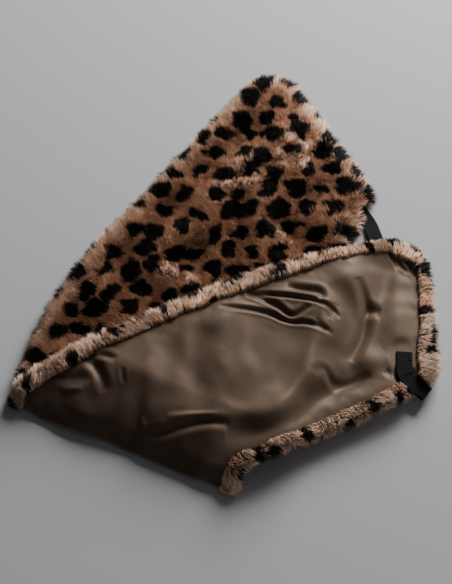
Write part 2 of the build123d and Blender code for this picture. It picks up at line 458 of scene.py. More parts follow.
def skin_material():
    """The knitted back of the fur, seen between the hairs: painted with the spots, with a fine knit."""
    look = Look("fur_back", (0.3, 0.2, 0.1), 0.85, 0.3)
    spots = look.add("Attribute", "Fac", {}, attribute_name="spots")
    place = look.place()
    mottle = look.add("TexNoise", "Fac", {"Vector": place, "Scale": 260.0, "Detail": 3.0})
    ground = look.ramp(mottle, [(0.3, (0.10, 0.05, 0.025)), (0.7, (0.22, 0.11, 0.06))])
    spotted = {"Factor": spots, "A": ground, "B": (*SHADES["black"], 1)}
    look.connect(look.shader, {"Base Color": look.add("Mix", "Result", spotted, data_type="RGBA")})
    look.bump(look.add("TexVoronoi", "Distance", {"Vector": place, "Scale": 900.0}), 0.6, 0.6 * MM)
    return look.material


def satin_material():
    """Bronze-brown satin: long floats with a soft sheen, a fine twill, and slight shading."""
    look = Look("satin", (0.1, 0.08, 0.06), 0.42, 0.12, (0.62, 0.46, 0.33), 0.32, 0.4)
    place = look.place()
    cloud = look.add("TexNoise", "Fac", {"Vector": place, "Scale": 34.0, "Detail": 5.0})
    colour = look.ramp(cloud, [(0.30, (0.105, 0.073, 0.053)), (0.72, (0.141, 0.100, 0.073))])
    drawn_out = {"Vector": place, "Rotation": (0, 0, math.radians(28)), "Scale": (1, 9, 1)}
    grain = look.add("Mapping", "Vector", drawn_out, vector_type="POINT")
    floats = look.add("TexNoise", "Fac", {"Vector": grain, "Scale": 420.0})
    streak = look.ramp(floats, [(0.35, (0.88, 0.88, 0.88)), (0.65, (1, 1, 1))])
    both = {"Factor": 1.0, "A": colour, "B": streak}
    look.connect(look.shader, {
        "Base Color": look.add("Mix", "Result", both, data_type="RGBA", blend_type="MULTIPLY"),
        "Roughness": look.add("MapRange", "Result", {"Value": cloud, "To Min": 0.42, "To Max": 0.52}),
        "Specular Tint": (0.85, 0.62, 0.44, 1),
    })
    look.bump(floats, 0.22, 0.2 * MM)
    return look.material


def woven_material(name, dark, light, roughness, scale, sheen=0.15, specular=0.3):
    """Plain matt fibre for ribbon, thread and wadding, with mottled colour and a fibrous surface."""
    look = Look(name, dark, roughness, sheen, None, specular)
    fibre = look.add("TexNoise", "Fac", {"Vector": look.place(), "Scale": scale, "Detail": 6.0})
    look.connect(look.shader, {"Base Color": look.ramp(fibre, [(0.3, dark), (0.7, light)])})
    look.bump(fibre, 0.4, 0.3 * MM)
    return look.material


PILE_SHADES = pile_materials()
SKIN_LOOK = skin_material()
SATIN_LOOK = satin_material()
WADDING_LOOK = woven_material("wadding", (0.130, 0.092, 0.068), (0.215, 0.155, 0.115), 0.95, 300.0)
RIBBON_LOOK = woven_material("ribbon", (0.005, 0.005, 0.007), (0.012, 0.013, 0.016), 0.80, 700.0, 0.0, 0.12)
THREAD_LOOK = woven_material("thread", (0.030, 0.024, 0.018), (0.055, 0.044, 0.034), 0.6, 900.0)


# ---------------------------------------------------------------- spots
class Spots:
    """Irregular dark spots on an uneven grid, none close to the point bare.

    inside() is below 0 inside a spot.
    """

    def __init__(self, loop, seed, bare=None):
        rng = np.random.default_rng(seed)
        at = spread(loop, SPOT_PITCH, -SPOT_PITCH / 2, seed, 0.20)
        small = spread(loop, SPOT_PITCH * 1.9, -SPOT_PITCH / 2, seed + 1, 0.3) + SPOT_PITCH * 0.5
        if bare is not None:
            at, small = (c[np.linalg.norm(c - bare, axis=1) > 0.8 * SPOT_PITCH] for c in (at, small))
        self.at = np.concatenate([at, small])
        big = rng.uniform(0.70, 1.18, len(at)) * SPOT_R
        self.r = np.concatenate([big, rng.uniform(0.30, 0.42, len(small)) * SPOT_R])
        self.stretch = rng.uniform(1.0, 1.5, len(self.at))
        angle = rng.normal(0.5, 0.7, len(self.at))
        self.u = np.stack([np.cos(angle), np.sin(angle)], 1)
        self.wobble = [Waves(seed + k, 20 * MM) for k in (2, 3)]
        self.ragged = [Waves(seed + k, 5 * MM) for k in (4, 5)]

    def inside(self, p):
        p = p + sway(self.wobble, p) * 2.0 * MM
        p = p + sway(self.ragged, p) * 0.15 * MM
        found = np.full(len(p), 9.0)
        for at, r, k, u in zip(self.at, self.r, self.stretch, self.u):
            q = p - at
            a = q @ u / math.sqrt(k)
            b = (q[:, 1] * u[0] - q[:, 0] * u[1]) * math.sqrt(k)
            found = np.minimum(found, np.sqrt(a * a + b * b) / r - 1)
        return found


# ---------------------------------------------------------------- pile
def build_strands(name, place, points, width, low_shade, tip_shade):
    """Closed three-sided hairs along two or three points each, from root to tip, laid out flat."""
    bent = len(points) == 3
    rings = []
    for p in points:
        at = place(p[:, :2], np.minimum(p[:, 2], TIP_LIMIT))
        at[:, 2] = np.maximum(at[:, 2], FLOOR_GAP)
        rings.append(at)
    run = unit(rings[-1] - rings[0])
    side = unit(np.cross(run, np.array([0.31, 0.17, 0.93])))
    up = np.cross(run, side)
    corners = []
    for centre, share in zip(rings[:-1], (1.0, 0.85)):
        for k in range(3):
            angle = 2 * math.pi * k / 3
            across = side * math.cos(angle) + up * math.sin(angle)
            corners.append(centre + across * (width * share)[:, None])
    corners.append(rings[-1])
    size = len(corners)
    count = len(width)
    vertices = np.stack(corners, 1).reshape(-1, 3)
    base = np.arange(count)[:, None] * size
    nexts = [(i, (i + 1) % 3) for i in range(3)]
    quads = [base + np.array([i, j, 3 + j, 3 + i]) for i, j in nexts] if bent else []
    thirds = [base + np.array([size - 4 + i, size - 4 + j, size - 1]) for i, j in nexts]
    thirds.append(base + np.array([2, 1, 0]))
    mesh = bpy.data.meshes.new(name)
    mesh.vertices.add(len(vertices))
    mesh.vertices.foreach_set("co", vertices.astype(np.float32).ravel())
    four, three = count * len(quads), count * len(thirds)
    fours = np.stack(quads, 1).ravel() if bent else np.zeros(0, int)
    loops = np.concatenate([fours, np.stack(thirds, 1).ravel()])
    mesh.loops.add(len(loops))
    mesh.loops.foreach_set("vertex_index", loops.astype(np.int32))
    mesh.polygons.add(four + three)
    starts = np.concatenate([np.arange(four) * 4, four * 4 + np.arange(three) * 3])
    mesh.polygons.foreach_set("loop_start", starts.astype(np.int32))
    tip_part = np.stack([tip_shade, tip_shade, tip_shade, low_shade], 1).ravel()
    shades = np.concatenate([np.repeat(low_shade, len(quads)), tip_part])
    for m in PILE_SHADES:
        mesh.materials.append(m)
    mesh.polygons.foreach_set("material_index", shades.astype(np.int32))
    mesh.polygons.foreach_set("use_smooth", np.ones(four + three, bool))
    mesh.update(calc_edges=True)
    piece = placed(name, mesh)
    return piece


def pick(rng, names, weights, count):
    """A random shade for each strand."""
    return rng.choice([SHADE_NAMES.index(n) for n in names], count, p=np.array(weights) / sum(weights))


def shade_pile(rng, p, spots, rim, fade=0.0):
    """Lower and tip shades of strands with their roots at p.

    rim runs from 0, face, to 1, rim. A larger fade makes the spots smaller.
    """
    count = len(p)
    low = pick(rng, ("russet", "tan"), (3, 4), count)
    tip = pick(rng, ("tan", "honey", "russet"), (7, 3, 2), count)
    pale = rng.random(count) < smooth(rim)
    low = np.where(pale, pick(rng, ("blush", "honey", "cream"), (4, 3, 2), count), low)
    tip = np.where(pale, pick(rng, ("blush", "cream", "honey"), (5, 4, 2), count), tip)
    mark = spots.inside(p) + rng.normal(0, 0.09, count) + 0.12 * rim + fade
    dark = mark < 0
    low = np.where(dark, pick(rng, ("black", "umber"), (3, 1), count), low)
    tip = np.where(dark, pick(rng, ("black", "umber"), (9, 1), count), tip)
    return low, tip


def tufted(at, rng):
    """The tuft that each strand belongs to, from places laid out flat, and the number of tufts."""
    low, high = at.min(0), at.max(0)
    centres = low + rng.random((int(np.prod((high - low) / TUFT)) + 1, 2)) * (high - low)
    centres = centres[np.argsort(centres[:, 0])]
    return closest(at, centres)[0], len(centres)


def gathered(tips, tuft, share):
    """Tips drawn towards the middle of their tuft."""
    count = np.maximum(np.bincount(tuft), 1)
    middle = np.stack([np.bincount(tuft, tips[:, k]) / count for k in range(3)], 1)
    return tips + (middle[tuft] - tips) * share


def turned(v, angle):
    """Directions in plan, each turned by an angle."""
    c, s = np.cos(angle), np.sin(angle)
    return np.stack([v[:, 0] * c - v[:, 1] * s, v[:, 0] * s + v[:, 1] * c], 1)


def skin_depth(roll):
    """Depth of the back of the fur, where it has turned round the edge by an angle."""
    return (SKIN + RIM_SKIN) / 2 + (SKIN - RIM_SKIN) / 2 * np.cos(roll)


class Half:
    """One half laid out flat, with the pile on its face and round its edge, combed and tufted.

    inset is the distance from its path, the outline, to the edge of its satin, measured along
    square. depth_of gives the satin's depth, and moves, from settled(), shifts it a little.
    drawn is 1 where the rim is drawn in, with shorter pile.
    """

    def __init__(self, path, square, inset, place, depth_of, ribbon, spots, nap, seed):
        self.path, self.square, self.inset = path, square, inset
        self.place, self.depth_of, self.ribbon, self.spots = place, depth_of, ribbon, spots
        self.nap, self.seed = np.array(nap), seed
        self.drawn, self.rim_pile, self.partings, self.moves = nowhere, RIM_PILE, (), None
        self.normal = inward(path)
        self.tuft = [Waves(seed + k, 12 * MM) for k in (1, 2)]
        self.comb = [Waves(seed + k, 55 * MM) for k in (3, 4)]
        self.fluff = Waves(seed + 5, 20 * MM)

    def satin_edge(self, more=0.0):
        """The edge of the satin, or a path further in."""
        return self.path + self.square * (self.inset + more)[:, None]

    def face(self, low, high, spacing, sag=0.0):
        """Strands on the pile side, whose roots are between two distances beyond the fold line."""
        rng = np.random.default_rng(self.seed + 20)
        edge = self.path + self.normal * (EDGE + ROLL_R)
        roots = spread(clipped(edge, high), spacing, 0, self.seed + 21)
        roots = roots[past_fold(roots) > low]
        count = len(roots)
        inside = distances(roots, clipped(self.path, STRIP))
        outwards = -self.normal[closest(roots, self.path)[0]]
        near_edge = smooth(1 - (inside - EDGE) / (20 * MM))[:, None]
        nap = self.nap + sway(self.comb, roots) * 0.18
        lean = nap * (1 - near_edge) + outwards * near_edge * 0.75
        lean = lean + sway(self.tuft, roots) * 0.09 + rng.normal(0, 0.09, (count, 2))
        rise = 1 + rng.normal(0, 0.06, count)
        length = PILE * (1 + 0.04 * self.fluff(roots) + rng.normal(0, 0.06, count))
        length = length * (1 - CRUSHED * smooth((past_fold(roots) + 30 * MM) / (30 * MM)))
        rim = smooth(1 - (inside - EDGE) / (26 * MM)) * (0.62 + 0.22 * self.fluff(roots))
        pale = np.zeros(count)
        for path, reach in self.partings:
            lean, length, pale = self.part(roots, path, reach, lean, length, pale)
        low_shade, tip_shade = shade_pile(rng, roots, self.spots, np.maximum(rim, pale))
        base = np.column_stack([roots, SKIN + sag * smooth((inside - EDGE - ROLL_R) / (10 * MM))])
        heading = unit(np.column_stack([lean * 0.85, rise]))
        width = FACE_W * rng.uniform(0.8, 1.2, count)
        return [(base, base + heading * length[:, None]), width, low_shade, tip_shade]

    def part(self, roots, path, reach, lean, length, pale):
        """Ruffle the pile along a path: hairs fall away to both sides and show their paler length."""
        run = spaced(np.array(path) * MM, 2 * MM)
        stray = roots + sway(self.tuft, roots * 1.6) * 2.2 * MM
        near, gap = closest(stray, run)
        share = smooth(1.25 - gap / (reach * MM))
        heading = (stray - run[near]) / (gap + 2.0 * MM)[:, None]
        share = share * np.clip(0.70 + 0.55 * self.fluff(roots * 1.7), 0, 1)
        lean = lean * (1 - share[:, None]) + heading * share[:, None] * 1.1
        return lean, length * (1 - 0.06 * share), np.maximum(pale, share * 0.62)

    def rim(self, low, high, spacing):
        """Strands that roll round the edge onto the lining side."""
        rng = np.random.default_rng(self.seed + 40)
        run = travelled(self.path)
        widest = math.pi * ROLL_R + self.inset.max() - EDGE - ROLL_R + RIM_OVER
        count = int(run[-1] * (widest + 3 * MM) / (spacing ** 2 * ROW))
        at = rng.random(count) * run[-1]
        across = rng.random(count) * widest
        anchor = on_run(at, run, self.path)
        normal = unit(on_run(at, run, self.normal))
        under = np.interp(at, run, self.inset) - EDGE - ROLL_R + RIM_OVER
        roll = np.clip(across / ROLL_R, 0, math.pi)
        flat = np.clip(across - math.pi * ROLL_R, 0, None)
        depth = EDGE + ROLL_R - ROLL_R * np.sin(roll) + flat
        root = anchor + normal * depth[:, None]
        unrolled = anchor + normal * (EDGE + ROLL_R - across)[:, None]
        n = skin_depth(roll)
        s = past_fold(root)
        keep = (s > low) & (s <= high) & (flat < under) & ~self.ribbon.covers(root)
        columns = (root, unrolled, n, roll, flat, normal, under, at, across)
        root, unrolled, n, roll, flat, normal, under, at, across = (c[keep] for c in columns)
        count = len(root)
        tuft, tufts = tufted(np.column_stack([at, across]), rng)
        side = np.sin(np.clip(roll, 0, math.pi * 0.94))
        over = smooth((flat - (under - 4 * MM)) / (4 * MM)) * (roll > 2.9)
        lean = -normal * (side + 0.45 * (roll > 2.9) - 0.40 * over)[:, None]
        twist = rng.normal(0, 0.14, tufts)[tuft]
        lean = turned(lean, rng.normal(0.12, 0.08, count) + 0.35 * self.comb[0](root) + twist)
        lean = lean + sway(self.tuft, root) * 0.10 + rng.normal(0, 0.08, (count, 2))
        rise = np.cos(roll) * (0.9 - 0.25 * over)
        length = self.rim_pile * (1 + 0.10 * self.fluff(root) + rng.normal(0, 0.07, count))
        length = length * (1 + rng.normal(0, 0.06, tufts)[tuft])
        length = length * (1 - 0.22 * over) * (1 - REAR_TIGHT * self.drawn(root, normal))
        pale = 0.95 - 0.45 * (rng.random(tufts)[tuft] < 0.25) - 0.15 * np.clip(self.tuft[0](root), 0, 1)
        fade = 0.35 * smooth(flat / (3 * MM)) + 0.10 * self.fluff(root)
        low_shade, tip_shade = shade_pile(rng, unrolled, self.spots, pale, fade)
        base, mid, tip = curved(root, n, lean, rise, length)
        width = RIM_W * rng.uniform(0.75, 1.2, count)
        mid, tip = gathered(mid, tuft, GATHER * 0.3), gathered(tip, tuft, GATHER)
        turned_in = roll > 1.9
        for points in (mid, tip):
            points[turned_in, :2] = self.ribbon.aside(root[turned_in], points[turned_in, :2])
        return [(base, mid, tip), width, low_shade, tip_shade]

    def grow(self, name, strands, body=None):
        """Put strands in the scene, on one body or baked in place across the fold, as pieces of limited
        size.
        """
        points, *others = strands
        count = len(points[0])
        groups = max(1, math.ceil(count / (STRANDS_IN_PIECE // (len(points) - 1))))
        order = np.argsort(points[0][:, 0], kind="stable")
        for g in range(groups):
            chosen = order[g * count // groups : (g + 1) * count // groups]
            label = f"{name}_{g + 1}" if groups > 1 else name
            columns = [c[chosen] for c in others]
            piece = build_strands(label, self.place, [p[chosen] for p in points], *columns)
            if body:
                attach(piece, body)
            else:
                across_fold(piece)


def curved(roots, n, lean, rise, length):
    """Roots, middles and tips of hairs that bend over as they rise."""
    first = unit(np.column_stack([lean * 0.55, rise]))
    last = unit(np.column_stack([lean * 1.25, rise * 0.8]))
    base = np.column_stack([roots, n])
    mid = base + first * (length * 0.5)[:, None]
    return base, mid, mid + last * (length * 0.55)[:, None]


def combed_along(strands):
    """Pile squeezed inside the bend: it leans along the fold."""
    (base, tip), *others = strands
    away = tip - base
    reach = np.linalg.norm(away, axis=1)[:, None]
    return [(base, base + away * 0.9 + np.append(along, 0) * reach * 0.25), *others]


# ---------------------------------------------------------------- fur back
def rolled_skin(name, half, sag, limit):
    """The back of the fur: its face, its rolled edge and the rim that turns under, as one skin."""
    turns = np.linspace(0, math.pi, 7)
    every = np.ones(len(half.path))
    profile = [((EDGE + ROLL_R * (1 - math.sin(a))) * every, skin_depth(a)) for a in turns]
    turned_under = EDGE + ROLL_R
    profile.append(((turned_under + half.inset) / 2, RIM_SKIN))
    profile.append((half.inset, RIM_SKIN + 0.5 * MM))
    profile.append((half.inset + 2.5 * MM, RECESS + 2.4 * MM))
    step, normal = half.path[::2], half.normal[::2]
    loops = [np.array(step + normal * inset[::2, None]) for inset, _ in profile]
    keep = past_fold(loops[0]) <= limit
    loops = [l[keep] for l in loops]
    count = len(loops[0])
    across = [ROLL_R * a * every[::2][keep] for a in turns]
    across += [math.pi * ROLL_R + inset[::2][keep] - turned_under for inset, _ in profile[len(turns):]]
    flat, faces = filled(loops[0], 4 * MM, 71)
    depth = [np.full(len(flat), SKIN)]
    plan, unrolled = [flat], [flat]
    start = len(flat)
    previous = list(range(count))
    for (_, n), loop, reach in zip(profile[1:], loops[1:], across[1:]):
        plan.append(loop)
        unrolled.append(step[keep] + normal[keep] * (turned_under - reach)[:, None])
        depth.append(np.full(count, n))
        current = list(range(start, start + count))
        start += count
        for i in range(count - 1):
            faces.append((previous[i], current[i], current[i + 1], previous[i + 1]))
        previous = current
    plan = np.concatenate(plan)
    depth = np.concatenate(depth)
    depth[: len(flat)] += sag * smooth(distances(flat, loops[0]) / (10 * MM))
    ribbon = half.ribbon
    squeezed = smooth(1 - (ribbon.near(plan, ribbon.line) - RIBBON_W / 2) / (5 * MM))
    depth = np.minimum(depth + 3.6 * MM * squeezed, np.maximum(depth, SKIN))
    piece = mesh_object(name, half.place(plan, depth), faces, SKIN_LOOK)
    marks = piece.data.attributes.new("spots", "FLOAT", "POINT")
    shade = np.clip(-half.spots.inside(np.concatenate(unrolled)) * 8 + 0.5, 0, 1)
    marks.data.foreach_set("value", shade.astype(np.float32))
    return piece


# ---------------------------------------------------------------- satin
def satin_inset(path, normal):
    """How far the edge of the satin is from the outline, all the way round."""
    s = past_fold(path)
    inset = SATIN_IN_END + (SATIN_IN_NECK - SATIN_IN_END) * on_side(normal, -1, 0.2, 0.6)
    inset = inset + (SATIN_IN_REAR - SATIN_IN_END) * on_side(normal, 1, 0.2, 0.6)
    beside_ribbon = upper_ribbon.cut + np.array([26, -4]) * MM
    inset = inset + SATIN_IN_CORNER * np.exp(-((path - beside_ribbon) ** 2).sum(1) / (2 * (22 * MM) ** 2))
    at_fold = smooth((s + 22 * MM) / (20 * MM))
    inset = inset * (1 - at_fold) + SATIN_IN_FOLD * at_fold
    return inset + 0.8 * MM * Waves(31, 38 * MM)(path)


# Creases of the satin, as (points in plan, depth, half width), in mm. The points are in the
# order of the crease, and the depth tapers towards both ends. A negative depth stands up.
CREASES = [
    ([(-72, -184), (-55, -186), (-36, -181), (-14, -177), (6, -180)], 3.2, 3.6),
    ([(-50, -172), (-28, -171), (-4, -172)], -1.2, 2.4),
    ([(-66, -180), (-73, -176), (-70, -171)], -1.2, 2.2),
    ([(2, -185), (36, -186), (66, -170), (84, -150), (104, -137), (134, -126), (156, -117)], 4.2, 8.5),
    ([(82, -130), (93, -122), (98, -134), (112, -138), (136, -124)], 2.0, 3.4),
    ([(128, -29), (134, -46), (136, -62), (132, -84), (119, -112)], 2.6, 4.2),
    ([(134, -58), (149, -60)], 2.4, 4.6),
    ([(104, -58), (101, -66), (98, -76)], 1.6, 4.2),
    ([(21, -46), (49, -58), (63, -74), (73, -68), (86, -60)], 3.1, 2.4),
    ([(26, -47), (58, -50), (78, -55), (100, -62), (108, -73)], 3.4, 2.2),
    ([(-3, -63), (40, -66), (60, -79), (78, -80), (96, -88)], 3.1, 2.2),
    ([(60, -40), (76, -44), (92, -47), (91, -56)], 3.4, 3.4),
    ([(84, -76), (92, -84), (101, -90)], 1.2, 2.2),
    ([(-138, -104), (-124, -113), (-112, -128), (-106, -147)], 3.4, 4.0),
    ([(-124, -113), (-108, -112), (-96, -118)], 2.2, 2.8),
    ([(-91, -127), (-90, -141)], 1.2, 1.8),
    ([(-147, -143), (-127, -143)], -1.0, 2.6),
    ([(-160, -128), (-140, -133), (-118, -134)], 2.0, 4.0),
    ([(168, 2), (173, -9), (181, -16)], 2.6, 1.9),
    ([(176, 1), (182, -11), (186, -21)], 2.4, 1.9),
    ([(158, 10), (166, 0), (170, -13)], 1.8, 2.0),
    ([(150, -120), (157, -127)], 1.8, 3.2),
]
LIP = 0.24                 # how far a crease stands up on both sides, of its depth


def creased(p):
    """How far the satin is pressed in at each point in plan."""
    depth = np.zeros(len(p))
    for points, deep, wide in CREASES:
        run = spaced(rounded(np.array(points, float)) * MM, 1.2 * MM)
        near, gap = closest(p, run)
        share = np.linspace(0, 1, len(run))[near]
        d = gap / (wide * MM)
        taper = np.sqrt(np.clip(4 * share * (1 - share), 0, 1))
        groove = np.exp(-d ** 2) - LIP * np.exp(-((d - 2.1) / 0.9) ** 2)
        depth += deep * MM * taper * groove
    return depth


def rounded(points, times=2):
    """An open path with its corners cut, the ends kept."""
    for _ in range(times):
        a, b = points[:-1], points[1:]
        cut = np.stack([a * 0.75 + b * 0.25, a * 0.25 + b * 0.75], 1).reshape(-1, 2)
        points = np.concatenate([points[:1], cut, points[-1:]])
    return points


ripple_long, ripple_short, dent = Waves(51, 58 * MM), Waves(52, 26 * MM), Waves(53, 40 * MM)


def flat_depth(p, inside):
    """The lining under the lower half lies nearly flat, just clear of the surface."""
    sag = 0.7 * MM * smooth(inside / (20 * MM))
    return np.maximum(RECESS - sag + 0.2 * MM * ripple_short(p), 0.4 * MM)


def satin_depth(p, inside):
    """Depth of the satin from the face of the rim: puffed between its edges and creased."""
    tuck = 0.8 * MM * np.exp(-inside / (4 * MM))
    ripple = 0.08 * MM * ripple_short(p) + 0.22 * MM * dent(p)
    pucker = 0.2 * MM * np.exp(-inside / (8 * MM)) * Waves(54, 9 * MM)(p)
    shaped = tuck - puffed(p, inside) + ripple * smooth(inside / (12 * MM)) + pucker + creased(p)
    depth = RECESS + shaped * (1 - upper_ribbon.pressed(p)) + 2.6 * MM * upper_ribbon.sunk(p)
    soft = 0.5 * MM
    return SATIN_LIMIT - soft * np.log1p(np.exp((SATIN_LIMIT - depth) / soft))


def puffed(p, inside):
    """How far the wadding lifts the satin between its edges."""
    return 2.6 * MM * smooth(inside / (26 * MM)) * (0.75 + 0.25 * ripple_long(p))


# The cloth simulation: a coarse sheet, a little too large, held at its edge on springy wadding
TRIAL_STEP = 5.5 * MM
TRIAL_EASE = 0.024         # how much larger than its place the satin is cut
TRIAL_SPRING = 0.30        # hold of the wadding
TRIAL_FRAMES = 30
TRIAL_CAP = 1.6 * MM       # furthest that a point may move
TRIAL_CLOTH = {
    "quality": 8,
    "mass": 0.02,
    "tension_stiffness": 12,
    "compression_stiffness": 12,
    "shear_stiffness": 5,
    "bending_stiffness": 0.05,
    "vertex_group_mass": "held",
    "pin_stiffness": 0.6,
    "shrink_min": -TRIAL_EASE,
}


def settled(half):
    """How far each point of a coarse sheet moves when cloth with some ease settles: (plan, move)."""
    edge = half.satin_edge()[::2]
    flat, faces = filled(edge[::2], TRIAL_STEP, 91)
    inside = np.maximum(distances(flat, edge), 0)
    start = half.place(flat, half.depth_of(flat, inside))
    sheet = mesh_object("trial_sheet", start, faces)
    held = sheet.vertex_groups.new(name="held")
    for i, d in enumerate(inside):
        held.add([i], 1.0 if d < 3 * MM else TRIAL_SPRING, "REPLACE")
    cloth = sheet.modifiers.new("cloth", "CLOTH")
    for key, value in TRIAL_CLOTH.items():
        setattr(cloth.settings, key, value)
    cloth.settings.effector_weights.gravity = 0.0
    cloth.collision_settings.use_collision = False
    scene = bpy.context.scene
    scene.frame_start, scene.frame_end = 1, TRIAL_FRAMES
    cloth.point_cache.frame_end = TRIAL_FRAMES
    for frame_number in range(1, TRIAL_FRAMES + 1):
        scene.frame_set(frame_number)
    shaped = sheet.evaluated_get(bpy.context.evaluated_depsgraph_get()).to_mesh()
    end = np.empty(len(flat) * 3)
    shaped.vertices.foreach_get("co", end)
    move = end.reshape(-1, 3) - start
    scene.frame_set(1)
    bpy.data.objects.remove(sheet, do_unlink=True)
    move = move * (1 - half.ribbon.pressed(flat))[:, None]
    size = np.linalg.norm(move, axis=1, keepdims=True)
    return flat, move * (np.tanh(size / TRIAL_CAP) * TRIAL_CAP / np.maximum(size, 1e-9))


def carried(p, flat, move):
    """The movement of a coarse sheet, smoothly interpolated at the points p in plan."""
    found = np.empty((len(p), 3))
    for i in range(0, len(p), CHUNK):
        gap = ((p[i : i + CHUNK, None, :] - flat) ** 2).sum(2)
        share = np.exp(-gap / (2 * (0.85 * TRIAL_STEP) ** 2))
        found[i : i + CHUNK] = share @ move / share.sum(1, keepdims=True)
    return found


def satin_sheet(name, half, limit):
    """The lining in its final place, its hem turned under the rim, and the outline it is cut to."""
    keep = past_fold(half.satin_edge()) <= limit
    edge, under = half.satin_edge()[keep][::2], half.satin_edge(-HEM)[keep][::2]
    flat, faces = filled(edge, SATIN_STEP, 61)
    inside = distances(flat, edge)
    inside[: len(edge)] = 0
    depth = half.depth_of(flat, np.maximum(inside, 0))
    hem_depth = depth[: len(edge)] + 1.0 * MM
    start = len(flat)
    for i in range(len(edge) - 1):
        faces.append((i, start + i, start + i + 1, i + 1))
    at = half.place(np.concatenate([flat, under]), np.concatenate([depth, hem_depth]))
    if half.moves:
        at[:start] += carried(flat, *half.moves)
    return mesh_object(name, at, faces, SATIN_LOOK), under


# ---------------------------------------------------------------- wadding
def pad(name, half, loop, gap, thick):
    """A thin closed pad that follows the satin at a gap below it."""
    flat, faces = filled(loop, 2.3 * MM, 81)
    inside = np.maximum(distances(flat, loop), 0)
    inside[: len(loop)] = 0
    depth = half.depth_of(flat, inside)
    satin = half.place(flat, depth)
    below = unit(half.place(flat, depth + 0.1 * MM) - satin)
    if half.moves:
        satin = satin + carried(flat, *half.moves)
    belly = np.maximum(thick * smooth((inside + 1 * MM) / (5 * MM)), 0.4 * MM)
    top = satin + below * gap
    count, rim = len(flat), len(loop)
    front = [tuple(reversed(f)) for f in faces]
    back = [tuple(k + count for k in f) for f in faces]
    walls = [(i, (i + 1) % rim, (i + 1) % rim + count, i + count) for i in range(rim)]
    points = np.concatenate([top, top + below * belly[:, None]])
    return mesh_object(name, points, front + back + walls, WADDING_LOOK)


# ---------------------------------------------------------------- ribbons and thread
RIBBON_W, RIBBON_T = 15 * MM, 0.5 * MM
RIB_PITCH, RIB_HEIGHT = 1.0 * MM, 0.08 * MM
SHEETS_APART = 0.75 * MM
LOOP_HALF = 1.4 * MM       # half the height of the open end of a loop
BEND_LEG = 6 * MM          # how far before and after its turn the ribbon bends
LINE_STEP = RIB_PITCH / 4
THREAD_R, EDGE_THREAD_R = 0.22 * MM, 0.28 * MM


